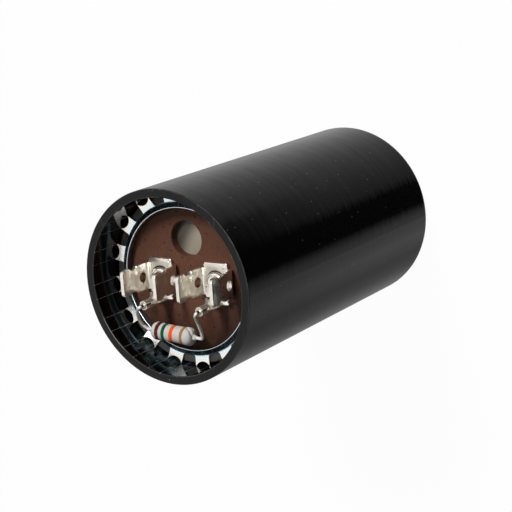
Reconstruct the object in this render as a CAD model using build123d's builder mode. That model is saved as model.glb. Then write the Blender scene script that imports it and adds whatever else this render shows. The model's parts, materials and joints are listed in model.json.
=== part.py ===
from build123d import *
from math import cos, radians, sin
import os

# Motor start capacitor, in millimetres. The origin is the centre of the closed end's outer
# face, +Z runs up the axis to the open end with the terminals, +X runs from the left
# terminal to the right one, and +Y points to the vent hole.

# Case: a moulded phenolic cup with a thicker wall below the shoulder that carries the board
case_diameter = 46.0
case_height = 85.7
case_floor = 2.6
body_wall = 4.0
mouth_wall = 2.1
base_edge_radius = 2.0
rim_edge_radius = 0.3
bore_edge_radius = 1.2

# Terminal board, with its rubber edge channel
board_recess = 9.9
board_thickness = 3.0
gasket_base = 1.2
gasket_top = 1.0
gasket_side = 1.6
gasket_lip_width = 1.6
gasket_wall_gap = 0.4
gasket_fit = 0.02
gasket_corner_radius = 0.35

# Vent hole and its rubber plug
vent_diameter = 8.6
vent_x = -0.3
vent_y = 9.2
vent_edge_radius = 0.2
plug_depth = 2.1
plug_dome = 0.3
plug_flange_width = 2.0
plug_flange_thickness = 1.3
plug_fit = 0.05

# Retaining ring: spring steel sheet with a raised inner lip and upturned teeth
ring_sheet = 0.35
ring_lip_overhang = 0.45
ring_lip_width = 1.35
ring_lip_rise = 0.9
ring_fold_radius = 0.5
ring_edge_share = 0.4
ring_seat_gap = 0.03
tooth_count = 16
tooth_phase = 7.8
tooth_width = 3.9
tooth_length = 2.5
tooth_rise = 0.5
tooth_hollow = 1.0
tooth_corner_radius = 0.45
tooth_wall_gap = 0.03

# Terminals, formed from tinned sheet
terminal_pitch = 15.88
terminal_y = -0.25
sheet = 0.8
plate_width = 6.5
plate_above = 4.45
plate_below = 3.75
bend_radius = 0.7
tab_width = 6.35
tab_height = 9.2
tab_tip_radius = 1.0
tab_lean = 4.0
notch_drop = 2.4
notch_length = 2.7
notch_depth = 0.63
tab_hole_diameter = 2.3
tab_hole_drop = 7.3

# Solder lug on each terminal: a blade whose upper part is rolled into a crimp barrel
lug_width = 4.5
lug_shoulder_width = 3.9
lug_blade_height = 1.1
lug_roll_height = 3.4
barrel_length = 2.8
barrel_wall = 0.6
barrel_shift = 0.35
barrel_seam_angle = 32.0
barrel_seam_heading = 8.0
blade_sweep = 8.0
curl_steps = 5

# Tubular rivets
rivet_shank_diameter = 3.2
rivet_bore_diameter = 2.1
rivet_rim_diameter = 5.0
rivet_rim_height = 0.9
rivet_head_diameter = 5.4
rivet_head_height = 0.8
rivet_bore_depth = 3.6
rivet_fit = 0.05
washer_diameter = 6.6
washer_thickness = 0.6

# Bleed resistor across the terminals
resistor_length = 11.6
resistor_end_diameter = 4.3
resistor_waist_diameter = 4.0
resistor_cap_length = 2.6
resistor_shoulder_radius = 1.3
resistor_x = -2.75
resistor_y = -12.55
resistor_drop = 5.3
resistor_turn = -3.4
meniscus_length = 0.9
meniscus_diameter = 1.5
lead_diameter = 0.8
lead_run_right = 1.6
lead_run_left = 0.8
lead_grip = 2.5
lead_crest = 1.35
lead_corner_radius = 0.6
lead_crest_radius = 0.5
# Bends from the resistor's end to the crest: shares of the way in X, Y and Z, and the bend's
# radius in lead diameters
lead_bends_right = (
    (0.15, 0.26, 0.16, 1.9),
    (0.31, 0.64, 0.49, 3.8),
    (0.71, 0.86, 0.85, 1.5),
)
lead_bends_left = (
    (-0.33, 0.16, 0.16, 1.5),
    (-0.29, 0.43, 0.38, 3.1),
    (0.09, 0.71, 0.67, 3.1),
    (0.62, 0.91, 0.90, 1.2),
)

# Solder cap on each crimp barrel
solder_height = 0.4
solder_inset = 0.15

# Inside: potting, wound roll, its wrap and the foil strips
potting_depth = 4.6
potting_fit = 0.1
winding_wall_gap = 0.75
winding_head_gap = 11.3
winding_core_diameter = 5.0
wrap_thickness = 0.4
wrap_overlap = 1.0
inner_fit = 0.05
foil_width = 5.0
foil_thickness = 0.3
foil_bend_radius = 1.0
foil_run = 4.5

# Heights and radii that follow from the sizes above
case_radius = case_diameter / 2
mouth_radius = case_radius - mouth_wall
bore_radius = case_radius - body_wall
board_top = case_height - board_recess
board_bottom = board_top - board_thickness
shoulder_height = board_bottom - gasket_base
gasket_radius = mouth_radius - gasket_wall_gap
board_radius = gasket_radius - gasket_side
gasket_lip_radius = board_radius - gasket_lip_width
gasket_height = board_top + gasket_top
plate_top = board_top + sheet
tab_tip = plate_top + tab_height
potting_top = case_floor + potting_depth
winding_base = potting_top + inner_fit
winding_top = board_bottom - winding_head_gap
winding_height = winding_top - winding_base
wrap_radius = bore_radius - winding_wall_gap
winding_radius = wrap_radius - wrap_thickness - inner_fit
washer_top = board_bottom - foil_thickness
washer_bottom = washer_top - washer_thickness
lug_y = terminal_y - plate_below - bend_radius - sheet / 2
lug_base = plate_top + bend_radius
lug_roll_start = lug_base + lug_blade_height
barrel_bottom = lug_roll_start + lug_roll_height
barrel_top = barrel_bottom + barrel_length
barrel_inner_radius = lead_diameter / 2 + inner_fit
barrel_outer_radius = barrel_inner_radius + barrel_wall


def point_on(centre, radius, angle):
    """A point at an angle in degrees on a circle."""
    return (
        centre[0] + radius * cos(radians(angle)),
        centre[1] + radius * sin(radians(angle)),
    )


def make_case():
    with BuildPart() as case:
        with BuildSketch(Plane.XZ):
            with BuildLine():
                Polyline(
                    (0, 0),
                    (case_radius, 0),
                    (case_radius, case_height),
                    (mouth_radius, case_height),
                    (mouth_radius, shoulder_height),
                    (bore_radius, shoulder_height),
                    (bore_radius, case_floor),
                    (0, case_floor),
                    close=True,
                )
            make_face()
        revolve(axis=Axis.Z)
        circles = case.edges().filter_by(GeomType.CIRCLE)
        base_edge = circles.group_by(Axis.Z)[0]
        fillet(base_edge, base_edge_radius)
        floor_edge = case.edges().filter_by(GeomType.CIRCLE).filter_by_position(
            Axis.Z, case_floor - 0.01, case_floor + 0.01
        )
        fillet(floor_edge, bore_edge_radius)
        rim_edges = case.edges().filter_by(GeomType.CIRCLE).group_by(Axis.Z)[-1]
        fillet(rim_edges, rim_edge_radius)
    return case.part


def make_gasket():
    with BuildPart() as gasket:
        with BuildSketch(Plane.XZ) as section:
            with BuildLine():
                Polyline(
                    (gasket_lip_radius, shoulder_height),
                    (gasket_radius, shoulder_height),
                    (gasket_radius, gasket_height),
                    (gasket_lip_radius, gasket_height),
                    (gasket_lip_radius, board_top + gasket_fit),
                    (board_radius + gasket_fit, board_top + gasket_fit),
                    (board_radius + gasket_fit, board_bottom - gasket_fit),
                    (gasket_lip_radius, board_bottom - gasket_fit),
                    close=True,
                )
            make_face()
            top_corners = section.vertices().group_by(Axis.Y)[-1]
            fillet(top_corners, gasket_corner_radius)
        revolve(axis=Axis.Z)
    return gasket.part


def make_board():
    with BuildPart() as board:
        with BuildSketch(Plane.XY.offset(board_bottom)):
            Circle(board_radius)
            with Locations((vent_x, vent_y)):
                Circle(vent_diameter / 2, mode=Mode.SUBTRACT)
            with Locations((0, terminal_y)):
                with GridLocations(terminal_pitch, 0, 2, 1):
                    Circle(rivet_shank_diameter / 2 + rivet_fit, mode=Mode.SUBTRACT)
        extrude(amount=board_thickness)
        vent_rims = board.edges().filter_by(GeomType.CIRCLE).filter_by(
            lambda edge: abs(edge.radius - vent_diameter / 2) < 0.001
        )
        fillet(vent_rims.sort_by(Axis.Z)[-1], vent_edge_radius)
    return board.part


def make_vent_plug():
    stem_radius = vent_diameter / 2 - plug_fit
    flange_radius = vent_diameter / 2 + plug_flange_width
    flange_top = board_bottom - plug_fit
    stem_top = board_top - plug_depth
    with BuildPart() as plug:
        with BuildSketch(Plane.XZ.offset(-vent_y)):
            with BuildLine():
                bottom = Line((vent_x, flange_top - plug_flange_thickness),
                              (vent_x + flange_radius, flange_top - plug_flange_thickness))
                side = Polyline(
                    bottom @ 1,
                    (vent_x + flange_radius, flange_top),
                    (vent_x + stem_radius, flange_top),
                    (vent_x + stem_radius, stem_top),
                )
                dome_radius = (stem_radius**2 + plug_dome**2) / (2 * plug_dome)
                dome = RadiusArc(side @ 1, (vent_x, stem_top + plug_dome), -dome_radius)
                Line(dome @ 1, bottom @ 0)
            make_face()
        revolve(axis=Axis((vent_x, vent_y, 0), (0, 0, 1)))
    return plug.part


def make_retaining_ring():
    lip_radius = gasket_lip_radius - ring_lip_overhang
    fold_radius = lip_radius + ring_lip_width
    tip_radius = mouth_radius - tooth_wall_gap
    root_radius = tip_radius - tooth_length
    fold_bottom = gasket_height + ring_seat_gap
    pitch = 360 / tooth_count
    half_pitch = radians(pitch / 2)
    hollow_radius = ((tooth_width / 2) ** 2 + tooth_hollow**2) / (2 * tooth_hollow)
    chord_radius = (tip_radius**2 - (tooth_width / 2) ** 2) ** 0.5

    def tooth_side(radius):
        """The corner of a gap on its neighbour's side, at a distance along that tooth."""
        return (
            radius * cos(half_pitch) + tooth_width / 2 * sin(half_pitch),
            radius * sin(half_pitch) - tooth_width / 2 * cos(half_pitch),
        )

    with BuildSketch() as gap:
        with BuildLine():
            root = tooth_side(root_radius)
            outer = tooth_side(tip_radius + tooth_length)
            FilletPolyline(
                (outer[0], -outer[1]),
                (root[0], -root[1]),
                root,
                outer,
                radius=tooth_corner_radius,
            )
            Line(outer, (outer[0], -outer[1]))
        make_face()

    with BuildPart() as ring:
        with BuildSketch(Plane.XZ):
            with BuildLine() as spine:
                FilletPolyline(
                    (lip_radius, fold_bottom + ring_lip_rise),
                    (fold_radius, fold_bottom),
                    (tip_radius, fold_bottom + tooth_rise),
                    radius=ring_fold_radius + ring_sheet,
                )
                offset(spine.line, amount=ring_sheet, side=Side.LEFT)
            profile = make_face()
            lip_corners = profile.vertices().sort_by(Axis.X)[:2]
            fillet(lip_corners, radius=ring_sheet * ring_edge_share)
        revolve(axis=Axis.Z)
        with BuildSketch(Plane.XY.offset(fold_bottom - ring_sheet)):
            with PolarLocations(0, tooth_count, start_angle=tooth_phase + pitch / 2):
                add(gap.sketch)
            hollow_centre = chord_radius - tooth_hollow + hollow_radius
            with PolarLocations(hollow_centre, tooth_count, start_angle=tooth_phase):
                Circle(hollow_radius)
        extrude(amount=ring_lip_rise + tooth_rise + 3 * ring_sheet, mode=Mode.SUBTRACT)
    return ring.part


def tab_plane(centre_x, side, lean):
    """Plane of a tab's inner face, from the end of its bend, with local Y up the tab."""
    swing = radians(90 - lean)
    across = plate_width / 2 + bend_radius * sin(swing)
    origin = (centre_x + side * across, terminal_y, plate_top + bend_radius * (1 - cos(swing)))
    outward = (side * sin(swing), 0, -cos(swing))
    return Plane(origin=origin, x_dir=(0, side, 0), z_dir=outward)


def tab_outline(length, hole_height, notch_top):
    """One quick-connect tab, flat: rounded tip, a notch in each side and a round hole."""
    notch_radius = (notch_length**2 / 4 + notch_depth**2) / (2 * notch_depth)
    notch_centre = tab_width / 2 - notch_depth + notch_radius
    with Locations((0, length / 2)):
        blank = Rectangle(tab_width, length)
    fillet(blank.vertices().group_by(Axis.Y)[-1], tab_tip_radius)
    with Locations((notch_centre, notch_top - notch_length / 2),
                   (-notch_centre, notch_top - notch_length / 2)):
        Circle(notch_radius, mode=Mode.SUBTRACT)
    with Locations((0, hole_height)):
        Circle(tab_hole_diameter / 2, mode=Mode.SUBTRACT)


def bent_strip(centre, inner_radius, outer_radius, start, end):
    """Outline of a strip bent to part of a circle, from one heading to another."""
    middle = (start + end) / 2
    outer = ThreePointArc(
        point_on(centre, outer_radius, start),
        point_on(centre, outer_radius, middle),
        point_on(centre, outer_radius, end),
    )
    inner = ThreePointArc(
        point_on(centre, inner_radius, end),
        point_on(centre, inner_radius, middle),
        point_on(centre, inner_radius, start),
    )
    Line(outer @ 1, inner @ 0)
    Line(inner @ 1, outer @ 0)


def lug_outline(centre_x, width, curl):
    """Outline of the lug's section: a flat blade at curl 0, the crimp barrel at curl 1."""
    barrel_sweep = 360 - barrel_seam_angle
    barrel_radius = barrel_inner_radius + barrel_wall / 2
    barrel_girth = barrel_radius * radians(barrel_sweep)
    sweep = blade_sweep + (barrel_sweep - blade_sweep) * curl
    girth = width + (barrel_girth - width) * curl
    wall = sheet + (barrel_wall - sheet) * curl
    heading = 270 + (barrel_seam_heading - 90) * curl
    radius = girth / radians(sweep)
    rolled_middle = point_on((barrel_shift, 0), barrel_radius, 180 + barrel_seam_heading)
    middle = (centre_x + rolled_middle[0] * curl, lug_y + rolled_middle[1] * curl)
    centre = point_on(middle, radius, heading + 180)
    bent_strip(
        centre, radius - wall / 2, radius + wall / 2, heading + sweep / 2, heading - sweep / 2
    )


def make_terminal(centre_x):
    with BuildPart() as terminal:
        with BuildSketch(Plane.XY.offset(board_top)):
            with Locations((centre_x, terminal_y + (plate_above - plate_below) / 2)):
                Rectangle(plate_width, plate_above + plate_below)
            with Locations((centre_x, terminal_y)):
                Circle(rivet_shank_diameter / 2 + rivet_fit, mode=Mode.SUBTRACT)
        extrude(amount=sheet)

        for side, lean in ((-1, 0.0), (1, tab_lean)):
            plane = tab_plane(centre_x, side, lean)
            bend_centre = (centre_x + side * plate_width / 2, plate_top + bend_radius)
            bend_end = -90 + side * (90 - lean)
            with BuildSketch(Plane.XZ.offset(-terminal_y)):
                with BuildLine():
                    bent_strip(bend_centre, bend_radius, bend_radius + sheet, -90, bend_end)
                make_face()
            extrude(amount=tab_width / 2, both=True)
            length = tab_tip - plane.origin.Z
            with BuildSketch(plane):
                tab_outline(length, length - tab_hole_drop, length - notch_drop)
            extrude(amount=sheet)

        lug_bend_centre = (terminal_y - plate_below, plate_top + bend_radius)
        with BuildSketch(Plane.YZ.offset(centre_x)):
            with BuildLine():
                bent_strip(lug_bend_centre, bend_radius, bend_radius + sheet, -90, -180)
            make_face()
        extrude(amount=lug_width / 2, both=True)
        for height, width in ((lug_base, lug_width), (lug_roll_start, lug_shoulder_width)):
            with BuildSketch(Plane.XY.offset(height)):
                with BuildLine():
                    lug_outline(centre_x, width, 0)
                make_face()
        loft()
        for step in range(curl_steps + 1):
            curl = step / curl_steps
            with BuildSketch(Plane.XY.offset(lug_roll_start + lug_roll_height * curl)):
                with BuildLine():
                    lug_outline(centre_x, lug_shoulder_width, curl)
                make_face()
        loft()
        with BuildSketch(Plane.XY.offset(barrel_bottom)):
            with BuildLine():
                lug_outline(centre_x, lug_shoulder_width, 1)
            make_face()
        extrude(amount=barrel_length)
    return terminal.part


def make_rivet(centre_x):
    shank = rivet_shank_diameter / 2
    bore = rivet_bore_diameter / 2
    rim = rivet_rim_diameter / 2
    head = rivet_head_diameter / 2
    head_bottom = washer_bottom - rivet_head_height
    rim_top = plate_top + rivet_rim_height
    crown = (bore + rim) / 2
    with BuildPart() as rivet:
        with BuildSketch(Plane.XZ.offset(-terminal_y)):
            with BuildLine():
                base = Polyline(
                    (centre_x, head_bottom),
                    (centre_x + head, head_bottom),
                    (centre_x + head, washer_bottom),
                    (centre_x + shank, washer_bottom),
                    (centre_x + shank, plate_top),
                    (centre_x + rim, plate_top),
                )
                roll = ThreePointArc(
                    base @ 1,
                    (centre_x + rim - rivet_rim_height * 0.25, plate_top + rivet_rim_height * 0.7),
                    (centre_x + crown, rim_top),
                )
                throat = ThreePointArc(
                    roll @ 1,
                    (centre_x + bore + (crown - bore) * 0.3, plate_top + rivet_rim_height * 0.75),
                    (centre_x + bore, plate_top),
                )
                Polyline(
                    throat @ 1,
                    (centre_x + bore, rim_top - rivet_bore_depth),
                    (centre_x, rim_top - rivet_bore_depth),
                    base @ 0,
                )
            make_face()
        revolve(axis=Axis((centre_x, terminal_y, 0), (0, 0, 1)))
    return rivet.part


def make_washer(centre_x):
    with BuildPart() as washer:
        with BuildSketch(Plane.XY.offset(washer_bottom)):
            with Locations((centre_x, terminal_y)):
                Circle(washer_diameter / 2)
                Circle(rivet_shank_diameter / 2 + rivet_fit, mode=Mode.SUBTRACT)
        extrude(amount=washer_thickness)
    return washer.part


def resistor_plane():
    """Plane at the resistor's middle, with local X along its axis."""
    turn = radians(resistor_turn)
    return Plane(
        origin=(resistor_x, resistor_y, case_height - resistor_drop),
        x_dir=(cos(turn), sin(turn), 0),
        z_dir=(0, 0, 1),
    )


def make_resistor_body():
    half = resistor_length / 2
    end = resistor_end_diameter / 2
    waist = resistor_waist_diameter / 2
    neck = half - resistor_cap_length
    lead = lead_diameter / 2
    tip = half + meniscus_length
    plane = resistor_plane()
    with BuildPart() as body:
        with BuildSketch(plane):
            with BuildLine():
                flank = Polyline(
                    (0, waist),
                    (neck - (end - waist), waist),
                    (neck + (end - waist), end),
                    (half - resistor_shoulder_radius, end),
                )
                shoulder = TangentArc(
                    flank @ 1,
                    (half, end - resistor_shoulder_radius),
                    tangent=flank % 1,
                )
                right = Polyline(
                    shoulder @ 1,
                    (half, meniscus_diameter / 2),
                    (tip, lead),
                    (tip, 0),
                    (0, 0),
                    (0, waist),
                )
            make_face()
            mirror(about=Plane.YZ)
        revolve(axis=Axis(plane.origin, plane.x_dir))
    return body.part


def lead_route(side):
    """Points of a resistor lead from the resistor's end to the crimp barrel, with bend radii."""
    plane = resistor_plane()
    outward = plane.x_dir * side
    start = plane.origin + outward * (resistor_length / 2 + meniscus_length)
    corner = start + outward * (lead_run_right if side > 0 else lead_run_left)
    barrel_x = side * terminal_pitch / 2 + barrel_shift
    crest = Vector(barrel_x, lug_y, barrel_top + lead_crest)
    bends = lead_bends_right if side > 0 else lead_bends_left
    points = [start, corner]
    for along_x, along_y, along_z, bend in bends:
        step = Vector(
            (crest - corner).X * along_x,
            (crest - corner).Y * along_y,
            (crest - corner).Z * along_z,
        )
        points.append(corner + step)
    points += [crest, Vector(barrel_x, lug_y, barrel_top - lead_grip)]
    radii = [lead_corner_radius] + [bend * lead_diameter for *place, bend in bends]
    return points, radii + [lead_crest_radius]


def make_lead(side):
    points, radii = lead_route(side)
    with BuildPart() as lead:
        with BuildLine() as route:
            FilletPolyline(*points, radius=radii)
        with BuildSketch(Plane(origin=route.line @ 0, z_dir=route.line % 0)):
            Circle(lead_diameter / 2)
        sweep()
    return lead.part


def make_solder(side, lead):
    centre_x = side * terminal_pitch / 2 + barrel_shift
    base = barrel_outer_radius - solder_inset
    dome_radius = (base**2 + solder_height**2) / (2 * solder_height)
    with BuildPart() as solder:
        with BuildSketch(Plane.XZ.offset(-lug_y)):
            with BuildLine():
                foot = Line((centre_x, barrel_top), (centre_x + base, barrel_top))
                dome = RadiusArc(foot @ 1, (centre_x, barrel_top + solder_height), -dome_radius)
                Line(dome @ 1, foot @ 0)
            make_face()
        revolve(axis=Axis((centre_x, lug_y, 0), (0, 0, 1)))
        add(lead, mode=Mode.SUBTRACT)
    return solder.part


def make_foil_tab(side):
    """A strip that rises from the roll and turns in under the rivet."""
    rivet_x = side * terminal_pitch / 2
    run_x = rivet_x - side * foil_run
    bar_top = board_bottom
    with BuildPart() as foil:
        with BuildSketch(Plane.XZ.offset(-terminal_y)):
            with BuildLine() as spine:
                FilletPolyline(
                    (rivet_x + side * washer_diameter / 2, bar_top),
                    (run_x, bar_top),
                    (run_x, winding_top + inner_fit),
                    radius=foil_bend_radius,
                )
                turn_side = Side.RIGHT if side < 0 else Side.LEFT
                offset(spine.line, amount=foil_thickness, side=turn_side)
            make_face()
        extrude(amount=foil_width / 2, both=True)
        with BuildSketch(Plane.XY.offset(bar_top)):
            with Locations((rivet_x, terminal_y)):
                Circle(rivet_shank_diameter / 2 + rivet_fit)
        extrude(amount=-2 * foil_thickness, mode=Mode.SUBTRACT)
    return foil.part


def make_winding():
    with BuildPart() as winding:
        with BuildSketch(Plane.XY.offset(winding_base)):
            Circle(winding_radius)
            Circle(winding_core_diameter / 2, mode=Mode.SUBTRACT)
        extrude(amount=winding_height)
    return winding.part


def make_wrap():
    with BuildPart() as wrap:
        with BuildSketch(Plane.XY.offset(winding_base)):
            Circle(wrap_radius)
            Circle(wrap_radius - wrap_thickness, mode=Mode.SUBTRACT)
        extrude(amount=winding_height + wrap_overlap)
    return wrap.part


def make_potting():
    with BuildPart() as potting:
        with BuildSketch(Plane.XY.offset(case_floor + potting_fit)):
            Circle(bore_radius - potting_fit)
        extrude(amount=potting_depth - potting_fit)
        fillet(potting.edges().filter_by(GeomType.CIRCLE).sort_by(Axis.Z)[0], bore_edge_radius)
    return potting.part


pieces = {
    "case": make_case(),
    "edge_gasket": make_gasket(),
    "terminal_board": make_board(),
    "vent_plug": make_vent_plug(),
    "retaining_ring": make_retaining_ring(),
    "resistor_body": make_resistor_body(),
    "winding": make_winding(),
    "winding_wrap": make_wrap(),
    "potting": make_potting(),
}
for hand, side in (("left", -1), ("right", 1)):
    centre_x = side * terminal_pitch / 2
    pieces[f"terminal_{hand}"] = make_terminal(centre_x)
    pieces[f"rivet_{hand}"] = make_rivet(centre_x)
    pieces[f"rivet_washer_{hand}"] = make_washer(centre_x)
    pieces[f"resistor_lead_{hand}"] = make_lead(side)
    pieces[f"solder_{hand}"] = make_solder(side, pieces[f"resistor_lead_{hand}"])
    pieces[f"foil_tab_{hand}"] = make_foil_tab(side)

os.makedirs("parts", exist_ok=True)
for name, piece in pieces.items():
    piece.label = name
    export_step(piece, f"parts/{name}.step")
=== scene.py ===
import json
import math

import bpy
from mathutils import Matrix, Vector

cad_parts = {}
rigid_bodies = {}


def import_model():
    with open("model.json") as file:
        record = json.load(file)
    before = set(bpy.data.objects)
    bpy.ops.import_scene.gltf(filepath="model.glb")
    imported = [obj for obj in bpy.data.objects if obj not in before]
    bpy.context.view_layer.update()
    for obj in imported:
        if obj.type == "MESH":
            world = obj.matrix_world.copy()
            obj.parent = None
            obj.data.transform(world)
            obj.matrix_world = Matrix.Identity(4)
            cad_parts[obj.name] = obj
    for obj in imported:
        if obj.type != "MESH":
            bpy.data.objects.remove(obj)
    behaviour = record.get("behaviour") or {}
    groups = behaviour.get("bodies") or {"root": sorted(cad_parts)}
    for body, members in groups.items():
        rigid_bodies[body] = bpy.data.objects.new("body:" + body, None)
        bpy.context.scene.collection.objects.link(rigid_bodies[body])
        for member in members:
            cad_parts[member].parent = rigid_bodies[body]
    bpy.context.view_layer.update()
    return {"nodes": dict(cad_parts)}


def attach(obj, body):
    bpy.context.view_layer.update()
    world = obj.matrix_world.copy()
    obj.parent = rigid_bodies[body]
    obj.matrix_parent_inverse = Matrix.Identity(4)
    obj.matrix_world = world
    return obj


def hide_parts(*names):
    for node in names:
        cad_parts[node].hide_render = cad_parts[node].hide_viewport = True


for thing in list(bpy.data.objects):
    bpy.data.objects.remove(thing)

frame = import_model()
nodes = frame["nodes"]
print("capacitor loaded:", len(nodes), "nodes")


def addNode(tree, kind, values=None, **settings):
    node = tree.nodes.new(kind)
    for name, value in settings.items():
        setattr(node, name, value)
    for name, value in (values or {}).items():
        node.inputs[name].default_value = value
    return node


def wire(tree, source, target):
    tree.links.new(source, target)


# a socket takes a number, a colour, a vector or what another node puts out
def feed(tree, value, socket):
    if isinstance(value, (int, float)):
        socket.default_value = value
    elif isinstance(value, (tuple, list, Vector)):
        socket.default_value = (*value, 1.0)[:len(socket.default_value)]
    else:
        wire(tree, value, socket)


def calc(tree, operation, first, second=None):
    node = addNode(tree, "ShaderNodeMath", operation=operation)
    feed(tree, first, node.inputs[0])
    if second is not None:
        feed(tree, second, node.inputs[1])
    return node.outputs[0]


def times(tree, *factors):
    product = factors[0]
    for factor in factors[1:]:
        product = calc(tree, "MULTIPLY", product, factor)
    return product


def awayFrom(tree, value, middle):
    return calc(tree, "ABSOLUTE", calc(tree, "SUBTRACT", value, middle))


def vectorCalc(tree, operation, first, second=None, scale=None):
    node = addNode(tree, "ShaderNodeVectorMath", operation=operation)
    feed(tree, first, node.inputs[0])
    if second is not None:
        feed(tree, second, node.inputs[1])
    if scale is not None:
        feed(tree, scale, node.inputs["Scale"])
    return node.outputs["Value" if operation in ("DISTANCE", "DOT_PRODUCT") else "Vector"]


def remap(tree, value, low, high, outLow=0.0, outHigh=1.0, smooth=False):
    node = addNode(tree, "ShaderNodeMapRange",
                   {"From Min": low, "From Max": high, "To Min": outLow, "To Max": outHigh})
    if smooth:
        node.interpolation_type = "SMOOTHSTEP"
    wire(tree, value, node.inputs["Value"])
    return node.outputs[0]


# a mask of 0 to 1 as a value from low to high
def between(tree, mask, low, high):
    return remap(tree, mask, 0, 1, low, high)


def blendColors(tree, amount, first, second):
    node = addNode(tree, "ShaderNodeMix", data_type="RGBA")
    feed(tree, amount, node.inputs["Factor"])
    feed(tree, first, node.inputs["A"])
    feed(tree, second, node.inputs["B"])
    return node.outputs["Result"]


def newGroup(name, inputs, outputs):
    group = bpy.data.node_groups.new(name, "ShaderNodeTree")
    for label, kind, value in inputs:
        socket = group.interface.new_socket(label, in_out="INPUT", socket_type=kind)
        if value is not None:
            socket.default_value = value
    for label, kind in outputs:
        group.interface.new_socket(label, in_out="OUTPUT", socket_type=kind)
    return group, group.nodes.new("NodeGroupInput"), group.nodes.new("NodeGroupOutput")


# cloudy unevenness, from 0 where the noise is Low to 1 where it is High
def makeMottle():
    group, start, end = newGroup(
        "mottle",
        [("Vector", "NodeSocketVector", None), ("Scale", "NodeSocketFloat", 400.0),
         ("Low", "NodeSocketFloat", 0.35), ("High", "NodeSocketFloat", 0.65)],
        [("Value", "NodeSocketFloat")],
    )
    noise = addNode(group, "ShaderNodeTexNoise", {"Detail": 4.0, "Roughness": 0.55})
    ranged = addNode(group, "ShaderNodeMapRange")
    wire(group, start.outputs["Vector"], noise.inputs["Vector"])
    wire(group, start.outputs["Scale"], noise.inputs["Scale"])
    wire(group, noise.outputs[0], ranged.inputs["Value"])
    wire(group, start.outputs["Low"], ranged.inputs["From Min"])
    wire(group, start.outputs["High"], ranged.inputs["From Max"])
    wire(group, ranged.outputs[0], end.inputs[0])
    return group


# scattered dots, such as dust and pits: Size of a dot in its cell, Share of the cells that have one
def makeSpeckle(name, dimensions):
    group, start, end = newGroup(
        name,
        [("Vector", "NodeSocketVector", None), ("Scale", "NodeSocketFloat", 600.0),
         ("Size", "NodeSocketFloat", 0.1), ("Share", "NodeSocketFloat", 0.3)],
        [("Mask", "NodeSocketFloat")],
    )
    cells = addNode(group, "ShaderNodeTexVoronoi", feature="F1", voronoi_dimensions=dimensions)
    wire(group, start.outputs["Vector"], cells.inputs["Vector"])
    wire(group, start.outputs["Scale"], cells.inputs["Scale"])
    near = calc(group, "LESS_THAN", cells.outputs["Distance"], start.outputs["Size"])
    apart = addNode(group, "ShaderNodeSeparateColor")
    wire(group, cells.outputs["Color"], apart.inputs[0])
    chosen = calc(group, "LESS_THAN", apart.outputs[0], start.outputs["Share"])
    wire(group, times(group, near, chosen), end.inputs[0])
    return group


def splitPlace(tree, place):
    split = addNode(tree, "ShaderNodeSeparateXYZ")
    wire(tree, place, split.inputs[0])
    return split.outputs


# a point's radius, heading in degrees and height, from the case's axis
def makeRound():
    group, start, end = newGroup(
        "roundPlace", [("Vector", "NodeSocketVector", None)],
        [("Radius", "NodeSocketFloat"), ("Heading", "NodeSocketFloat"), ("Height", "NodeSocketFloat")],
    )
    across, along, up = splitPlace(group, start.outputs["Vector"])
    squared = calc(group, "ADD", times(group, across, across), times(group, along, along))
    wire(group, calc(group, "SQRT", squared), end.inputs["Radius"])
    turn = calc(group, "ARCTAN2", along, across)
    wire(group, times(group, turn, 180 / math.pi), end.inputs["Heading"])
    wire(group, up, end.inputs["Height"])
    return group


mottle = makeMottle()
speckle = makeSpeckle("speckle", "3D")
flatSpeckle = makeSpeckle("flatSpeckle", "2D")
roundPlace = makeRound()


def ownPlace(tree):
    return addNode(tree, "ShaderNodeTexCoord").outputs["Object"]


def stretched(tree, place, scale, shift=(0, 0, 0), turn=(0, 0, 0)):
    node = addNode(tree, "ShaderNodeMapping", {"Location": shift, "Rotation": turn, "Scale": scale})
    wire(tree, place, node.inputs["Vector"])
    return node.outputs[0]


# one of the pattern groups at a place, stretched and turned first where its values say so
def pattern(tree, group, place, stretch=None, turn=(0, 0, 0), **values):
    if stretch:
        place = stretched(tree, place, stretch, turn=turn)
    node = addNode(tree, "ShaderNodeGroup", values, node_tree=group)
    wire(tree, place, node.inputs["Vector"])
    return node.outputs[0]


def roundParts(tree, place):
    node = addNode(tree, "ShaderNodeGroup", node_tree=roundPlace)
    wire(tree, place, node.inputs[0])
    return node.outputs


# the colour and the roughness given here are the plain ones, which the patterns then vary
def newMaterial(name, color, roughness, **sockets):
    material = bpy.data.materials.new(name)
    material.use_nodes = True
    tree = material.node_tree
    shader = tree.nodes["Principled BSDF"]
    shader.inputs["Base Color"].default_value = (*color, 1.0)
    shader.inputs["Roughness"].default_value = roughness
    for label, value in sockets.items():
        shader.inputs[label.replace("_", " ")].default_value = value
    return material, tree, shader, ownPlace(tree)


def addBump(tree, shader, height, strength, depth, normal=None):
    node = addNode(tree, "ShaderNodeBump", {"Strength": strength, "Distance": depth})
    wire(tree, height, node.inputs["Height"])
    if normal is not None:
        wire(tree, normal, node.inputs["Normal"])
    wire(tree, node.outputs[0], shader.inputs["Normal"])


# a look's roughness plus its finish, which says how much smoother and rougher the pattern makes it
def roughRange(tree, mask, look):
    smoother, rougher = look["finish"]
    return between(tree, mask, look["roughness"] + smoother, look["roughness"] + rougher)


# the surface's own normal, leaned by a vector
def leanNormal(tree, lean):
    normal = addNode(tree, "ShaderNodeNewGeometry").outputs["Normal"]
    return vectorCalc(tree, "NORMALIZE", vectorCalc(tree, "ADD", normal, lean))


# 1 within a radius of a spot, both in metres
def nearSpot(tree, place, spot, radius):
    return calc(tree, "LESS_THAN", vectorCalc(tree, "DISTANCE", place, spot), radius)


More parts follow.
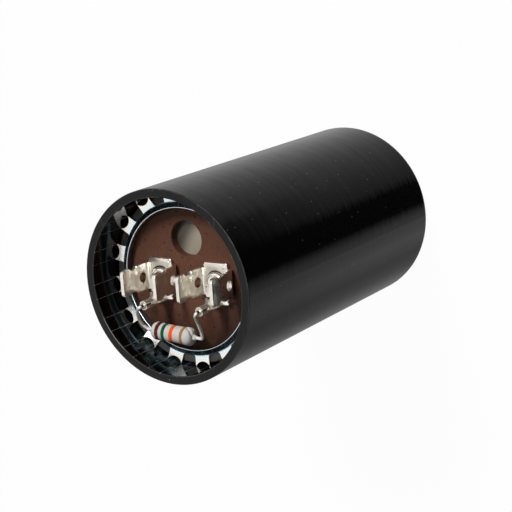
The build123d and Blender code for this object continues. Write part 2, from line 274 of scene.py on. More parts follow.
# lays a colour over what a material has, where the mask is 1
def recolor(material, mask, color):
    tree = material.node_tree
    target = tree.nodes["Principled BSDF"].inputs["Base Color"]
    wire(tree, blendColors(tree, mask, target.links[0].from_socket, color), target)


def wear(name, material):
    nodes[name].data.materials.clear()
    nodes[name].data.materials.append(material)


caseLook = dict(
    black=(0.0007, 0.0011, 0.001), roughness=0.08,
    # where the surfaces are, in metres: a pair is where a blend starts and where it is full
    rimHeight=(0.08548, 0.085568), rimRadius=(0.02107, 0.02117), edgeRadius=(0.02272, 0.0229),
    outsideRadius=(0.0224, 0.0226), mouthRadius=0.0211, wallTop=0.08526,
    # the sawn rim and the wall of the mouth shine less than the outside: the rim's roughness is added
    rimGrey=(0.006, 0.006, 0.0059), rimRoughness=0.42, rimDull=0.66, wallDull=0.64,
    wavy=dict(stretch=(1, 1, 0.15), Scale=900.0, Low=0.3, High=0.7),
    # a lighter grey in patches along the rim's outer edge is a painted highlight of the rounded corner, with some
    # moulding flash; the same grey draws the marks across the rim
    edgeGrey=(0.075, 0.074, 0.07), edgeShare=(0.1, 0.8),
    # marks across the rim, in degrees: heading, lean for each millimetre outward, half width
    rimMarks=((44.0, 2.2, 0.3), (141.0, -1.6, 0.25)), rimMarkStart=0.0209, rimMarkShare=0.5,
    # scratches above the teeth, in degrees from the middle of each tooth
    teeth=16, toothPhase=7.8, lineOffset=4.7, lineWidth=(0.126, 0.36), lineFoot=0.0775,
    patchy=dict(Scale=700.0, Low=0.3, High=0.6), lineShare=(0.35, 1.0), lineGrey=(0.16, 0.16, 0.155),
    lineRoughness=0.4,
    dust=dict(Scale=420.0, Size=0.06, Share=0.85), dustGrey=(0.32, 0.31, 0.29), dustShare=0.55,
    rimDust=dict(Scale=900.0, Size=0.13, Share=0.08), rimDustShare=0.3,
    # a bluish patch painted on the wall of the mouth as the steel ring's reflection: heading and half width in
    # degrees, height and reach in metres
    wallReflection=(0.05, 0.08, 0.09), reflectionHeading=-110.0, reflectionWidth=(30.0, 18.0), reflectionHeight=0.0795,
    reflectionReach=(0.0045, 0.0027), reflectionPatches=dict(stretch=(1, 1, 0.6), Scale=650.0, Low=0.42, High=0.62),
    # fine turning marks round the outside, and the grain of the sawn rim
    rings=dict(stretch=(0.06, 0.06, 1.6), Scale=900.0, Low=0.3, High=0.7), finish=(-0.025, 0.05),
    grain=dict(Scale=2500.0, Low=0.25, High=0.75), grainDepth=1.5, bump=(0.35, 0.000012),
    # how far the turning marks lean round the case, least before the first heading
    leaning=dict(stretch=(0.1, 0.1, 0.8), Scale=900.0, Low=0.2, High=0.8), lean=0.05,
    leanHeading=(8.0, 26.0), leanLeast=0.3,
)


def makeCaseMaterial(look):
    material, tree, shader, place = newMaterial("casePhenolic", look["black"], look["roughness"])
    radius, heading, height = roundParts(tree, place)
    rim = times(tree, remap(tree, height, *look["rimHeight"]), remap(tree, radius, *look["rimRadius"]))
    inMouth = calc(tree, "LESS_THAN", radius, look["mouthRadius"])

    # two scratches from each tooth of the ring, cut as the ring was pushed down the mouth
    pitch = 360 / look["teeth"]
    shifted = calc(tree, "ADD", heading, 2 * 360 - look["toothPhase"] + pitch / 2)  # never below 0
    along = calc(tree, "SUBTRACT", calc(tree, "MODULO", shifted, pitch), pitch / 2)
    fromLine = awayFrom(tree, calc(tree, "ABSOLUTE", along), look["lineOffset"])
    wavy = pattern(tree, mottle, place, **look["wavy"])
    onLine = calc(tree, "LESS_THAN", fromLine, between(tree, wavy, *look["lineWidth"]))
    aboveTeeth = calc(tree, "GREATER_THAN", height, look["lineFoot"])
    patchy = between(tree, pattern(tree, mottle, place, **look["patchy"]), *look["lineShare"])
    scratch = times(tree, onLine, inMouth, aboveTeeth, patchy)

    color = blendColors(tree, rim, look["black"], look["rimGrey"])
    # painted highlight: lighter grey patches along the rim's outer corner
    edgeHighlight = times(tree, rim, remap(tree, radius, *look["edgeRadius"]), between(tree, wavy, *look["edgeShare"]))
    color = blendColors(tree, edgeHighlight, color, look["edgeGrey"])
    outward = times(tree, calc(tree, "SUBTRACT", radius, look["rimMarkStart"]), 1000)
    for middle, lean, half in look["rimMarks"]:
        aside = calc(tree, "SUBTRACT", calc(tree, "SUBTRACT", heading, middle), times(tree, outward, lean))
        mark = calc(tree, "LESS_THAN", calc(tree, "ABSOLUTE", aside), half)
        color = blendColors(tree, times(tree, mark, rim, look["rimMarkShare"]), color, look["edgeGrey"])
    dust = pattern(tree, speckle, place, **look["dust"])
    color = blendColors(tree, times(tree, dust, look["dustShare"]), color, look["dustGrey"])
    rimDust = pattern(tree, speckle, place, **look["rimDust"])
    color = blendColors(tree, times(tree, rimDust, rim, look["rimDustShare"]), color, look["dustGrey"])
    color = blendColors(tree, scratch, color, look["lineGrey"])
    # painted reflection: a bluish patch low on the wall of the mouth, in place of the ring's reflection
    facing = remap(tree, awayFrom(tree, heading, look["reflectionHeading"]), *look["reflectionWidth"])
    level = remap(tree, awayFrom(tree, height, look["reflectionHeight"]), *look["reflectionReach"])
    wallReflection = times(tree, facing, level, pattern(tree, mottle, place, **look["reflectionPatches"]), inMouth)
    wire(tree, blendColors(tree, wallReflection, color, look["wallReflection"]), shader.inputs["Base Color"])

    rings = pattern(tree, mottle, place, **look["rings"])
    rough = roughRange(tree, rings, look)
    rough = calc(tree, "ADD", rough, times(tree, rim, look["rimRoughness"]))
    rough = calc(tree, "ADD", rough, times(tree, scratch, look["lineRoughness"]))
    wire(tree, rough, shader.inputs["Roughness"])

    # a share of metal with so dark a colour only takes the shine down
    belowRim = calc(tree, "LESS_THAN", height, look["wallTop"])
    wall = times(tree, inMouth, belowRim, calc(tree, "SUBTRACT", 1.0, wallReflection))
    dull = calc(tree, "ADD", times(tree, rim, look["rimDull"]), times(tree, wall, look["wallDull"]))
    wire(tree, dull, shader.inputs["Metallic"])

    # each turning mark leans a little round the case, so that reflections end in a ragged line
    marks = between(tree, pattern(tree, mottle, place, **look["leaning"]), -look["lean"], look["lean"])
    outside = remap(tree, radius, *look["outsideRadius"])
    coarse = remap(tree, heading, *look["leanHeading"], look["leanLeast"], 1.0, smooth=True)
    sideways = vectorCalc(tree, "NORMALIZE", vectorCalc(tree, "CROSS_PRODUCT", (0, 0, 1), place))
    normal = leanNormal(tree, vectorCalc(tree, "SCALE", sideways, scale=times(tree, marks, outside, coarse)))
    grain = pattern(tree, mottle, place, **look["grain"])
    relief = calc(tree, "ADD", rings, times(tree, grain, rim, look["grainDepth"]))
    addBump(tree, shader, relief, *look["bump"], normal)
    return material


wear("case", makeCaseMaterial(caseLook))
print("case finished")


boardLook = dict(
    brown=(0.125, 0.054, 0.034), deep=(0.08, 0.034, 0.021), pale=(0.18, 0.084, 0.054), shine=0.15,
    clouds=dict(Scale=180.0, Low=0.3, High=0.7), cloudShare=0.55,
    fibres=dict(stretch=(1.0, 0.65, 1.0), turn=(0, 0, 0.6), Scale=2300.0, Low=0.35, High=0.68), fibreShare=0.5,
    # painted shade toward the edge, for the shadows of the terminals and the case's wall: radii, the way in which
    # it is deepest and how fast it gets there
    boardShade=(0.045, 0.02, 0.013), boardShadeRadius=(0.0055, 0.0165), boardShadeWay=(0.4, -0.92, 0.0), boardShadeReach=(0.0, 0.01),
    boardShadeLeast=0.35,
    darkColor=(0.008, 0.005, 0.004), darkSpots=dict(Scale=400.0, Size=0.085, Share=0.36), pitShare=0.85,
    specks=dict(Scale=1300.0, Size=0.11, Share=0.12), speckShare=0.6,
    roughness=0.6, finish=(-0.08, 0.1), bump=(0.25, 0.00003),
)


def makeBoardMaterial(look):
    material, tree, shader, place = newMaterial("boardPhenolic", look["brown"], look["roughness"],
                                                Specular_IOR_Level=look["shine"])
    clouds = pattern(tree, mottle, place, **look["clouds"])
    fibres = pattern(tree, mottle, place, **look["fibres"])
    color = blendColors(tree, times(tree, clouds, look["cloudShare"]), look["brown"], look["deep"])
    color = blendColors(tree, times(tree, fibres, look["fibreShare"]), color, look["pale"])
    # painted shade: the board darker toward its edge and toward -y, where the terminals' and the wall's shadows
    # fall
    across = vectorCalc(tree, "DOT_PRODUCT", place, look["boardShadeWay"])
    side = remap(tree, across, *look["boardShadeReach"], look["boardShadeLeast"], 1.0, smooth=True)
    outward = remap(tree, roundParts(tree, place)[0], *look["boardShadeRadius"], smooth=True)
    color = blendColors(tree, times(tree, outward, side), color, look["boardShade"])
    darkSpots = pattern(tree, flatSpeckle, place, **look["darkSpots"])
    color = blendColors(tree, times(tree, darkSpots, look["pitShare"]), color, look["darkColor"])
    specks = pattern(tree, flatSpeckle, place, **look["specks"])
    color = blendColors(tree, times(tree, specks, look["speckShare"]), color, look["darkColor"])
    wire(tree, color, shader.inputs["Base Color"])
    wire(tree, roughRange(tree, fibres, look), shader.inputs["Roughness"])
    addBump(tree, shader, fibres, *look["bump"])
    return material


# a matte piece in patches of two tones
def makePatchyMaterial(name, look):
    material, tree, shader, place = newMaterial(name, look["tone"], look["roughness"])
    patches = pattern(tree, mottle, place, **look["patches"])
    color = blendColors(tree, times(tree, patches, look["share"]), look["tone"], look["second"])
    wire(tree, color, shader.inputs["Base Color"])
    wire(tree, roughRange(tree, patches, look), shader.inputs["Roughness"])
    addBump(tree, shader, pattern(tree, mottle, place, **look["grain"]), *look["bump"])
    return material


gasketLook = dict(
    tone=(0.046, 0.047, 0.043), second=(0.08, 0.078, 0.07), share=0.7, roughness=0.6, finish=(-0.15, 0.15),
    patches=dict(Scale=500.0, Low=0.35, High=0.7),
    grain=dict(Scale=3000.0, Low=0.2, High=0.8), bump=(0.3, 0.00003),
)
plugLook = dict(
    tone=(0.36, 0.325, 0.25), second=(0.33, 0.3, 0.22), share=0.6, roughness=0.5, finish=(-0.08, 0.12),
    patches=dict(Scale=450.0, Low=0.35, High=0.7),
    grain=dict(Scale=2200.0, Low=0.2, High=0.8), bump=(0.2, 0.00002),
    # painted shade on one side, where the hole's wall shades the sunken plug: the way across, where it ends and
    # where it is full
    darkerTone=(0.03, 0.025, 0.019), plugShadeWay=(0.84, -0.54, 0.0), plugShadeReach=(-0.0036, -0.0074), darkerShare=0.9,
)


def makePlugMaterial(look):
    material = makePatchyMaterial("plugRubber", look)
    tree = material.node_tree
    # painted shade: the plug darker on the side where the hole's wall would shade it
    across = vectorCalc(tree, "DOT_PRODUCT", ownPlace(tree), look["plugShadeWay"])
    shaded = remap(tree, across, *look["plugShadeReach"], smooth=True)
    recolor(material, times(tree, shaded, look["darkerShare"]), look["darkerTone"])
    return material


wear("terminal_board", makeBoardMaterial(boardLook))
wear("edge_gasket", makePatchyMaterial("gasketRubber", gasketLook))
wear("vent_plug", makePlugMaterial(plugLook))
print("board, gasket and plug finished")


# what the metals have in common: each metal's own dictionary adds to it or changes it
metalLook = dict(
    spread=0.04, clouds=dict(Low=0.35, High=0.65), dents=dict(Low=0.2, High=0.8),
    markScale=900.0, markSize=0.1, markCover=0.8, markRoughness=0.3,
    brush=(1.0, 1.0, 1.0), brushMarks=dict(Scale=1500.0, Low=0.3, High=0.7),
)


def makeMetal(name, look):
    material, tree, shader, place = newMaterial(name, look["metal"], look["roughness"], Metallic=look["metallic"])
    clouds = pattern(tree, mottle, place, Scale=look["cloudScale"], **look["clouds"])
    wire(tree, blendColors(tree, clouds, look["metal"], look["tint"]), shader.inputs["Base Color"])
    marks = pattern(tree, speckle, place, Scale=look["markScale"], Size=look["markSize"], Share=look["markShare"])
    recolor(material, times(tree, marks, look["markCover"]), look["mark"])
    brush = pattern(tree, mottle, place, stretch=look["brush"], **look["brushMarks"])
    rough = between(tree, brush, look["roughness"] - look["spread"], look["roughness"] + look["spread"])
    wire(tree, calc(tree, "ADD", rough, times(tree, marks, look["markRoughness"])), shader.inputs["Roughness"])
    dents = pattern(tree, mottle, place, Scale=look["dentScale"], **look["dents"])
    addBump(tree, shader, dents, look["bump"], look["dent"])
    return material


ringLook = dict(
    metalLook, metal=(0.69, 0.81, 0.88), tint=(0.76, 0.83, 0.86), metallic=0.97, roughness=0.16, cloudScale=240.0,
    mark=(0.15, 0.13, 0.1), markShare=0.06, brush=(1.0, 1.0, 0.2), dentScale=300.0, bump=0.14, dent=0.00006,
    # radii in metres: the flat between the lip and the teeth, painted a dark blue-grey for the dark wall it
    # reflects where it slopes, and the teeth, warmer toward their tips
    flatReflection=(0.33, 0.43, 0.47), flatStart=(0.0172, 0.0173), flatEnd=(0.0186, 0.0184),
    warm=(0.99, 0.85, 0.66), warmRadius=(0.0186, 0.0201), warmShare=0.75,
    # what the teeth's normals gain upward, less than 0 to face more inward, and the headings of one dull tooth
    lean=-0.22, dullLean=0.3, dullFrom=-161.0, dullTo=-138.5,
)


def makeRingSteel(look):
    material = makeMetal("ringSteel", look)
    tree = material.node_tree
    radius, heading = roundParts(tree, ownPlace(tree))[:2]
    recolor(material, remap(tree, radius, *look["warmRadius"], 0.0, look["warmShare"]), look["warm"])
    # painted reflection: the flat between lip and teeth darkened blue-grey
    onFlat = times(tree, remap(tree, radius, *look["flatStart"]), remap(tree, radius, *look["flatEnd"]))
    recolor(material, onFlat, look["flatReflection"])

    # the bent teeth curve up a little, so they face more inward than flat ones would
    dull = times(tree, calc(tree, "GREATER_THAN", heading, look["dullFrom"]),
                 calc(tree, "LESS_THAN", heading, look["dullTo"]))
    onTooth = remap(tree, radius, *reversed(look["flatEnd"]))
    lean = times(tree, onTooth, between(tree, dull, look["lean"], look["dullLean"]))
    normal = leanNormal(tree, vectorCalc(tree, "SCALE", (0, 0, 1), scale=lean))
    wire(tree, normal, tree.nodes["Bump"].inputs["Normal"])
    return material


wear("retaining_ring", makeRingSteel(ringLook))

terminalMiddles = {"left": -7.94, "right": 7.94}  # millimetres from the case's axis
terminalLook = dict(
    metalLook, metal=(0.82, 0.77, 0.69), tint=(0.74, 0.7, 0.63), metallic=0.93, roughness=0.3, cloudScale=260.0,
    mark=(0.1, 0.09, 0.08), markScale=700.0, markShare=0.05, brush=(1.0, 0.25, 1.0),
    dentScale=260.0, bump=0.08, dent=0.00004,
    # painted shade in the punched hole of each terminal's left tab, darkening the hole's wall: the hole's y and
    # z, and its radius
    holeShade=(0.12, 0.065, 0.04), hole=(-0.00025, 0.0785), holeRadius=0.00122,
    # a painted shadow line under a rivet's rim, and dark spots as (x, y, z, radius), all in metres
    darkColor=(0.01, 0.009, 0.008), rimRadius=0.00276, plateTop=0.0771,
    darkSpots=((-0.01128, 0.00395, 0.0767, 0.00026), (0.0047, 0.0041, 0.0767, 0.00026),
          (0.01007, 0.00312, 0.0766, 0.00022), (0.0049, -0.0016, 0.0767, 0.0002),
          (-0.0123, 0.0023, 0.0828, 0.00018)),
)


def makeTerminalTin(look):
    material = makeMetal("terminalTin", look)
    tree = material.node_tree
    place = ownPlace(tree)
    across, along, up = splitPlace(tree, place)
    middle = terminalMiddles["right"] / 1000

    sideways = addNode(tree, "ShaderNodeCombineXYZ")
    wire(tree, along, sideways.inputs[1])
    wire(tree, up, sideways.inputs[2])
    # painted shade on the wall of the hole in each left tab
    inHole = nearSpot(tree, sideways.outputs[0], (0, *look["hole"]), look["holeRadius"])
    leftTab = calc(tree, "LESS_THAN", across, -middle)
    rightTab = times(tree, calc(tree, "GREATER_THAN", across, 0.0), calc(tree, "LESS_THAN", across, middle))
    recolor(material, times(tree, inHole, calc(tree, "ADD", leftTab, rightTab)), look["holeShade"])

    # painted shadow: a dark ring on the plate just round each rivet's rim
    above = addNode(tree, "ShaderNodeCombineXYZ")
    wire(tree, calc(tree, "ABSOLUTE", across), above.inputs[0])
    wire(tree, along, above.inputs[1])
    rivetRimShadow = nearSpot(tree, above.outputs[0], (middle, look["hole"][0], 0), look["rimRadius"])
    onPlate = calc(tree, "LESS_THAN", up, look["plateTop"])
    recolor(material, times(tree, rivetRimShadow, onPlate), look["darkColor"])
    for *spot, radius in look["darkSpots"]:
        recolor(material, nearSpot(tree, place, spot, radius), look["darkColor"])
    return material


rivetLook = dict(
    metalLook, metal=(0.9, 0.87, 0.8), tint=(0.8, 0.75, 0.66), metallic=0.9, roughness=0.14, spread=0.03,
    cloudScale=500.0, mark=(0.12, 0.1, 0.08), markShare=0.02, dentScale=300.0, bump=0.04, dent=0.00003,
)
leadLook = dict(
    metalLook, metal=(1.0, 0.96, 0.88), tint=(0.96, 0.91, 0.82), metallic=0.2, roughness=0.34, cloudScale=400.0,
    mark=(0.25, 0.2, 0.14), markShare=0.04, dentScale=500.0, bump=0.1, dent=0.00003,
    # dark flux where the crimp barrel holds the lead: below this height and behind this line, in metres
    flux=(0.09, 0.055, 0.02), fluxTop=0.08565, fluxFront=-0.00575,
)
solderLook = dict(
    metalLook, metal=(0.55, 0.51, 0.45), tint=(0.3, 0.26, 0.21), metallic=0.5, roughness=0.25, cloudScale=700.0,
    mark=(0.1, 0.07, 0.04), markSize=0.12, markShare=0.06, dentScale=600.0, bump=0.2, dent=0.00005,
)
dropLook = dict(
    metalLook, metal=(1.0, 0.98, 0.95), tint=(0.96, 0.94, 0.9), metallic=0.9, roughness=0.38, spread=0.03,
    cloudScale=700.0, mark=(0.4, 0.35, 0.3), markShare=0.01, dentScale=900.0, bump=0.1, dent=0.00003,
)
foilLook = dict(
    metalLook, metal=(0.82, 0.82, 0.83), tint=(0.7, 0.7, 0.72), metallic=1.0, roughness=0.3, spread=0.08,
    cloudScale=400.0, mark=(0.3, 0.3, 0.3), markShare=0.03, brush=(0.2, 1.0, 1.0),
    dentScale=500.0, bump=0.4, dent=0.0001,
)


def makeLeadTin(look):
    material = makeMetal("leadTin", look)
    tree = material.node_tree
    along, up = splitPlace(tree, ownPlace(tree))[1:]
    below = calc(tree, "LESS_THAN", up, look["fluxTop"])
    behind = calc(tree, "GREATER_THAN", along, look["fluxFront"])
    recolor(material, times(tree, below, behind), look["flux"])
    return material


terminalTin = makeTerminalTin(terminalLook)
rivetTin = makeMetal("rivetTin", rivetLook)
leadTin = makeLeadTin(leadLook)
solderMetal = makeMetal("solder", solderLook)
dropTin = makeMetal("dropTin", dropLook)
foilMetal = makeMetal("foilAluminium", foilLook)


# a copy of a CAD node as one merged mesh of its own, which stands in the node's place
def mergedCopy(name, material, look):
    source = nodes[name]
    piece = source.copy()
    piece.data = source.data.copy()
    piece.parent = None
    for key in list(piece.keys()):
        del piece[key]
    bpy.context.scene.collection.objects.link(piece)
    piece.name = name + "_dressed"
    piece.data.transform(source.matrix_world)
    piece.matrix_world = Matrix.Identity(4)
    bpy.ops.object.select_all(action="DESELECT")
    piece.select_set(True)
    bpy.context.view_layer.objects.active = piece
    bpy.ops.mesh.customdata_custom_splitnormals_clear()
    bpy.ops.object.mode_set(mode="EDIT")
    bpy.ops.mesh.select_all(action="SELECT")
    bpy.ops.mesh.remove_doubles(threshold=look["merge"])
    bpy.ops.mesh.dissolve_limited(angle_limit=math.radians(look["flat"]))
    bpy.ops.object.mode_set(mode="OBJECT")
    piece.data.materials.clear()
    piece.data.materials.append(material)
    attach(piece, "root")
    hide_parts(name)
    return piece


# sheared edges of the sheet, a little rounded: metres and degrees
edgeLook = dict(width=0.00008, segments=2, sharp=35.0, smooth=40.0, merge=0.000002, flat=0.5)


def roundEdges(piece, look):
    bevel = piece.modifiers.new("edges", "BEVEL")
    bevel.width = look["width"]
    bevel.segments = look["segments"]
    bevel.limit_method = "ANGLE"
    bevel.angle_limit = math.radians(look["sharp"])
    bpy.ops.object.modifier_apply(modifier="edges")
    bpy.ops.object.shade_smooth_by_angle(angle=math.radians(look["smooth"]))


for hand in ("left", "right"):
    roundEdges(mergedCopy(f"terminal_{hand}", terminalTin, edgeLook), edgeLook)
    wear(f"rivet_{hand}", rivetTin)
    wear(f"rivet_washer_{hand}", rivetTin)
    wear(f"resistor_lead_{hand}", leadTin)
    wear(f"solder_{hand}", solderMetal)
    wear(f"foil_tab_{hand}", foilMetal)

# bright beads of tin left at sheared corners, in millimetres: across and along from the terminal's middle,
# height and radius
beadLook = dict(
    beads=((3.12, 4.4, 76.85, 0.42), (2.5, 3.7, 76.72, 0.36), (2.05, 1.75, 77.1, 0.4), (-3.66, 3.1, 81.0, 0.36)),
    middle=-0.25, squash=(1.2, 0.85, 0.65), divisions=3, uneven=0.06, turn=0.7, softness=0.5, softenings=2,
)


def makeBeads(hand, look):
    beads = []
    for index, (across, along, height, radius) in enumerate(look["beads"]):
        spot = (terminalMiddles[hand] + across, look["middle"] + along, height)
        bpy.ops.object.select_all(action="DESELECT")
        bpy.ops.mesh.primitive_ico_sphere_add(subdivisions=look["divisions"], radius=radius / 1000)
        bead = bpy.context.active_object
        bead.scale = look["squash"]
        bead.rotation_euler = (0, 0, look["turn"] * index)
        bead.location = [value / 1000 for value in spot]
        bpy.ops.object.transform_apply(location=True, rotation=True, scale=True)
        bpy.ops.object.mode_set(mode="EDIT")
        bpy.ops.mesh.select_all(action="SELECT")
        bpy.ops.transform.vertex_random(offset=look["uneven"] * radius / 1000, seed=index + 1)
        bpy.ops.mesh.vertices_smooth(factor=look["softness"], repeat=look["softenings"])
        bpy.ops.object.mode_set(mode="OBJECT")
        bpy.ops.object.shade_smooth()
        beads.append(bead)
    for bead in beads:
        bead.select_set(True)
    bpy.ops.object.join()
    piece = bpy.context.active_object
    piece.name = f"tin_beads_{hand}"
    piece.data.materials.clear()
    piece.data.materials.append(dropTin)
    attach(piece, "root")


# the sheared end of each lug's shoulder, folded flat and split in two: outline across and along from the
# terminal's middle, bottom and thickness in millimetres, tilt in degrees
earLook = dict(
    outline=((0.4, -4.9), (1.3, -4.4), (2.3, -3.95), (3.95, -3.55), (4.15, -3.75), (3.5, -4.25), (3.45, -4.5),
             (3.75, -4.95), (3.4, -5.25), (2.2, -5.2), (1.0, -5.35)),
    bottom=77.3, thickness=0.4, tilt=-6.0, edges=dict(width=0.0001, segments=3, sharp=30.0, smooth=40.0),
)


def makeEar(hand, look):
    bpy.ops.object.select_all(action="DESELECT")
    bpy.ops.mesh.primitive_circle_add(vertices=len(look["outline"]), radius=0.001, fill_type="NGON")
    ear = bpy.context.active_object
    ear.name = f"lug_ear_{hand}"
    for vertex, (across, along) in zip(ear.data.vertices, reversed(look["outline"])):
        rise = math.tan(math.radians(look["tilt"])) * (along - look["outline"][0][1])
        vertex.co = Vector((terminalMiddles[hand] + across, along, look["bottom"] - rise)) / 1000
    bpy.ops.object.mode_set(mode="EDIT")
    bpy.ops.mesh.select_all(action="SELECT")
    bpy.ops.mesh.extrude_region_move(TRANSFORM_OT_translate={"value": (0, 0, look["thickness"] / 1000)})
    bpy.ops.mesh.select_all(action="SELECT")
    bpy.ops.mesh.normals_make_consistent(inside=False)
    bpy.ops.object.mode_set(mode="OBJECT")
    roundEdges(ear, look["edges"])
    ear.data.materials.append(dropTin)
    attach(ear, "root")


for hand in ("left", "right"):
    makeBeads(hand, beadLook)
    makeEar(hand, earLook)
print("metal parts finished")


resistorLook = dict(
    lacquer=(0.71, 0.7, 0.68), darkerTone=(0.6, 0.59, 0.56), shine=0.25, roughness=0.5, finish=(-0.08, 0.1),
    centre=(-0.00275, -0.01255, 0.0804), turn=-3.4,
    # painted bands, in metres: distance from the middle, half width, colour
    bands=((-0.0037, 0.0005, (0.085, 0.006, 0.001)), (-0.00198, 0.0005, (0.0, 0.075, 0.025)),
           (0.00036, 0.00054, (1.0, 0.12, 0.005)), (0.0033, 0.00047, (0.42, 0.2, 0.055))),
    bandBlend=0.9, wobble=dict(Scale=900.0, Low=0.0, High=1.0), wobbleReach=0.00012, wobbleDepth=0.6,
    patches=dict(Scale=500.0, Low=0.35, High=0.75), darkerShare=0.3, bump=(0.5, 0.00006),
)


def makeResistorMaterial(look):
    material, tree, shader, place = newMaterial("resistorLacquer", look["lacquer"], look["roughness"],
                                                Specular_IOR_Level=look["shine"])
    back = -math.radians(look["turn"])
    shift = -(Matrix.Rotation(back, 3, "Z") @ Vector(look["centre"]))
    alongBody = splitPlace(tree, stretched(tree, place, (1, 1, 1), shift=tuple(shift), turn=(0, 0, back)))[0]
    wobble = pattern(tree, mottle, place, **look["wobble"])
    along = calc(tree, "ADD", alongBody, between(tree, wobble, -look["wobbleReach"], look["wobbleReach"]))
    patches = pattern(tree, mottle, place, **look["patches"])
    color = blendColors(tree, times(tree, patches, look["darkerShare"]), look["lacquer"], look["darkerTone"])
    relief = times(tree, wobble, look["wobbleDepth"])
    for middle, half, tone in look["bands"]:
        paint = remap(tree, awayFrom(tree, along, middle), half, half * look["bandBlend"])
        color = blendColors(tree, paint, color, tone)
        relief = calc(tree, "ADD", relief, paint)
    wire(tree, color, shader.inputs["Base Color"])
    wire(tree, roughRange(tree, patches, look), shader.inputs["Roughness"])
    addBump(tree, shader, relief, *look["bump"])
    return material


# a pinch in the lacquer beside the right lead: a path of (along, across, up) from the body's middle, its reach
# and depth and the mesh's size in millimetres, merge in metres
dentLook = dict(
    path=((4.4, 2.12, 0.37), (5.5, 1.39, 0.9), (5.95, 0.2, 0.85)), reach=0.5, depth=0.34, voxel=0.1,
    merge=0.000002, flat=0.1, smooth=60.0,
)


def dentBody(piece, look, centre, turn):
    piece.data.remesh_voxel_size = look["voxel"] / 1000
    bpy.ops.object.voxel_remesh()
    spin = Matrix.Rotation(math.radians(turn), 3, "Z")
    path = [Vector(centre) + spin @ Vector(point) / 1000 for point in look["path"]]
    moves = []
    for vertex in piece.data.vertices:
        away = look["reach"] / 1000
        for start, end in zip(path, path[1:]):
            run = end - start
            share = max(0.0, min(1.0, (vertex.co - start).dot(run) / run.length_squared))
            away = min(away, (vertex.co - start - run * share).length)
        closeness = 1 - (away * 1000 / look["reach"]) ** 2
        moves.append(vertex.normal * (look["depth"] / 1000 * closeness ** 2))
    for vertex, move in zip(piece.data.vertices, moves):
        vertex.co -= move
    bpy.ops.object.shade_smooth_by_angle(angle=math.radians(look["smooth"]))


resistorLacquer = makeResistorMaterial(resistorLook)
resistorPiece = mergedCopy("resistor_body", resistorLacquer, dentLook)
dentBody(resistorPiece, dentLook, resistorLook["centre"], resistorLook["turn"])
print("resistor finished")


# the pieces that the case hides
insideLook = dict(share=1.0, finish=(-0.1, 0.1), bump=(0.3, 0.0001))
windingLayers = dict(stretch=(1, 1, 0.1), Scale=600.0, Low=0.35, High=0.65)
wrapLayers = dict(windingLayers, stretch=(1, 1, 0.2))
pottingLumps = dict(windingLayers, stretch=(1, 1, 1))
windingLook = dict(insideLook, tone=(0.42, 0.36, 0.26), second=(0.3, 0.26, 0.19), roughness=0.6,
                   patches=windingLayers, grain=windingLayers)
wrapLook = dict(insideLook, tone=(0.3, 0.2, 0.11), second=(0.22, 0.14, 0.08), roughness=0.55,
                patches=wrapLayers, grain=wrapLayers)
pottingLook = dict(insideLook, tone=(0.02, 0.017, 0.014), second=(0.035, 0.03, 0.025), roughness=0.4,
                   patches=pottingLumps, grain=pottingLumps)

wear("winding", makePatchyMaterial("windingRoll", windingLook))
wear("winding_wrap", makePatchyMaterial("wrapPaper", wrapLook))
wear("potting", makePatchyMaterial("pottingCompound", pottingLook))
print("inside finished")


cameraLook = dict(place=(0.199654, 0.08248, 0.338603), turn=(-16.21339, 33.42126, -5.03104), lens=103.006,
                  sensor=36.0, nearest=0.01)


def makeCamera(look):
    data = bpy.data.cameras.new("camera")
    data.lens = look["lens"]
    data.sensor_width = look["sensor"]
    data.sensor_fit = "HORIZONTAL"
    data.clip_start = look["nearest"]
    camera = bpy.data.objects.new("camera", data)
    camera.location = look["place"]
    camera.rotation_euler = [math.radians(angle) for angle in look["turn"]]
    bpy.context.scene.collection.objects.link(camera)
    bpy.context.scene.camera = camera


floorLook = dict(size=6.0, white=0.82, selfLit=0.975)


def makeFloor(look):
    bpy.ops.object.select_all(action="DESELECT")
    bpy.ops.mesh.primitive_plane_add(size=look["size"], location=(0, 0, 0))
    floor = bpy.context.active_object
    floor.name = "floor"
    material = bpy.data.materials.new("floorWhite")
    material.use_nodes = True
    tree = material.node_tree
    tree.nodes.clear()
    rays = addNode(tree, "ShaderNodeLightPath")
    paper = addNode(tree, "ShaderNodeBsdfDiffuse", {"Color": (look["white"],) * 3 + (1.0,)})
    glow = addNode(tree, "ShaderNodeEmission", {"Color": (1, 1, 1, 1), "Strength": 1.0})
    seen = addNode(tree, "ShaderNodeMixShader", {"Fac": look["selfLit"]})
    wire(tree, paper.outputs[0], seen.inputs[1])
    wire(tree, glow.outputs[0], seen.inputs[2])
    either = addNode(tree, "ShaderNodeMixShader")
    wire(tree, rays.outputs["Is Camera Ray"], either.inputs[0])
    wire(tree, paper.outputs[0], either.inputs[1])
    wire(tree, seen.outputs[0], either.inputs[2])
    # gloss and glass look through the floor, at the cards and flags that the world has below it
    clear = addNode(tree, "ShaderNodeBsdfTransparent")
    whole = addNode(tree, "ShaderNodeMixShader")
    mirrored = calc(tree, "MAXIMUM", rays.outputs["Is Glossy Ray"], rays.outputs["Is Transmission Ray"])
    wire(tree, mirrored, whole.inputs[0])
    wire(tree, either.outputs[0], whole.inputs[1])
    wire(tree, clear.outputs[0], whole.inputs[2])
    end = addNode(tree, "ShaderNodeOutputMaterial")
    wire(tree, whole.outputs[0], end.inputs[0])
    floor.data.materials.append(material)


keyLook = dict(place=(-0.068, 0.518, 0.756), target=(0.0, 0.0, 0.08), size=0.15, power=5.5)


def makeKey(look):
    data = bpy.data.lights.new("keyLamp", "AREA")
    data.shape = "SQUARE"
    data.size = look["size"]
    data.energy = look["power"]
    lamp = bpy.data.objects.new("keyLamp", data)
    lamp.location = look["place"]
    lamp.visible_glossy = False
    aim = Vector(look["target"]) - Vector(look["place"])
    lamp.rotation_euler = aim.to_track_quat("-Z", "Y").to_euler()
    bpy.context.scene.collection.objects.link(lamp)


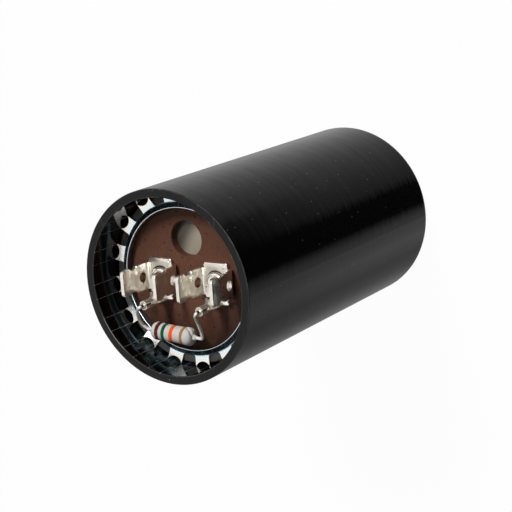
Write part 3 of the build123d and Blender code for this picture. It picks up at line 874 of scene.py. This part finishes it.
studioLook = dict(
    # heading in degrees from +X and brightness of the white cards and black flags low round the table, first
    # as the case's foot mirrors them, then as its mouth does
    foot=((-180, 0.41), (-166, 0.34), (-150, 0.27), (-131, 0.25), (-118, 0.28), (-106, 0.26), (-95, 0.23),
          (-72, 0.24), (-57, 0.38), (-46, 0.48), (-23, 0.37), (-14, 0.2), (-5, 0.015), (24, 0.02), (36, 0.14),
          (54, 0.2), (73, 0.27), (97, 0.35), (121, 0.47), (145, 0.55), (168, 0.53), (180, 0.41)),
    mouth=((-180, 0.41), (-166, 0.34), (-150, 0.27), (-131, 0.25), (-118, 0.27), (-106, 0.24), (-95, 0.21),
           (-72, 0.22), (-57, 0.33), (-46, 0.4), (-23, 0.35), (-14, 0.18), (-5, 0.01), (38, 0.012),
           (50, 0.045), (62, 0.075), (73, 0.22), (97, 0.33), (121, 0.46), (145, 0.55), (168, 0.53), (180, 0.41)),
    # how far down a reflection points where the foot's row gives way to the mouth's, and low light to high
    footToMouth=(-0.83, -0.8), lowToHigh=(-0.25, 0.1),
    # light from above, brightest toward its aim, and a small bright card for the glints on bent edges
    aim=(-0.45, 0.35, 0.82), facing=(-0.3, 0.75), high=(0.6, 1.05),
    cardAim=(0.16, 0.33, 0.93), cardFacing=(0.965, 0.985), card=10.0,
    backdrop=1.0, soft=0.08,
)


def makeRamp(tree, heading, row):
    ramp = addNode(tree, "ShaderNodeValToRGB")
    wire(tree, remap(tree, heading, -math.pi, math.pi), ramp.inputs[0])
    stops = ramp.color_ramp.elements
    for index, (angle, tone) in enumerate(row):
        share = (angle + 180) / 360
        stop = stops[index] if index < 2 else stops.new(share)
        stop.position = share
        stop.color = (tone, tone, tone, 1)
    return ramp.outputs[0]


def makeStudio(look):
    world = bpy.data.worlds.new("studio")
    bpy.context.scene.world = world
    world.cycles.sampling_method = "NONE"
    world.use_nodes = True
    tree = world.node_tree
    tree.nodes.clear()
    toward = addNode(tree, "ShaderNodeTexCoord").outputs["Generated"]
    across, along, up = splitPlace(tree, toward)
    heading = calc(tree, "ARCTAN2", along, across)
    low = blendColors(tree, remap(tree, up, *look["footToMouth"]),
                      makeRamp(tree, heading, look["foot"]), makeRamp(tree, heading, look["mouth"]))
    facing = vectorCalc(tree, "DOT_PRODUCT", toward, Vector(look["aim"]).normalized())
    high = remap(tree, facing, *look["facing"], *look["high"], smooth=True)
    cardFacing = vectorCalc(tree, "DOT_PRODUCT", toward, Vector(look["cardAim"]).normalized())
    high = calc(tree, "ADD", high, remap(tree, cardFacing, *look["cardFacing"], 0.0, look["card"], smooth=True))
    tone = blendColors(tree, remap(tree, up, *look["lowToHigh"], smooth=True), low, high)
    rays = addNode(tree, "ShaderNodeLightPath")
    light = addNode(tree, "ShaderNodeBackground")
    wire(tree, tone, light.inputs["Color"])
    # gloss sees the cards at full strength, matte surfaces get most of their light from the key lamp
    wire(tree, between(tree, rays.outputs["Is Diffuse Ray"], 1.0, look["soft"]), light.inputs["Strength"])
    plain = addNode(tree, "ShaderNodeBackground", {"Color": (1, 1, 1, 1), "Strength": look["backdrop"]})
    pick = addNode(tree, "ShaderNodeMixShader")
    wire(tree, rays.outputs["Is Camera Ray"], pick.inputs[0])
    wire(tree, light.outputs[0], pick.inputs[1])
    wire(tree, plain.outputs[0], pick.inputs[2])
    end = addNode(tree, "ShaderNodeOutputWorld")
    wire(tree, pick.outputs[0], end.inputs[0])


makeCamera(cameraLook)
makeFloor(floorLook)
makeKey(keyLook)
makeStudio(studioLook)
bpy.context.scene.view_settings.view_transform = "Standard"
print("camera, floor and light finished")
